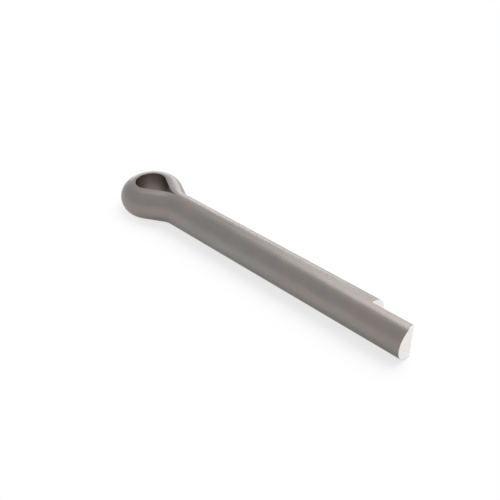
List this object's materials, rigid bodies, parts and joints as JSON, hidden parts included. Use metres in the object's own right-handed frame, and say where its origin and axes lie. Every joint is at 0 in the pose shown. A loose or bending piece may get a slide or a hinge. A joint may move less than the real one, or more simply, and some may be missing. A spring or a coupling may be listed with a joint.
{
  "type": "cotter pin",
  "caption": "Cotter pin of half-round wire with a round eye and a long and a short leg, which are spread apart behind a drilled shaft, clevis pin or slotted nut to lock it.",
  "frame": {"origin": "on the shank's axis where the shank begins under the eye, between the flat sides of the legs", "axes": "+X along the shank towards the tips of the legs, +Y towards the short leg, +Z along the axis of the eye's hole, up as the pin lies flat"},
  "size_m": [0.0295, 0.0054, 0.0028],
  "materials": {
    "steel_wire": "drawn half-round steel wire, left bare: satin, with faint lines along the wire, and brighter sheared ends"
  },
  "bodies": {
    "root": {"cotter_pin": "steel_wire"}
  },
  "joints": []
}
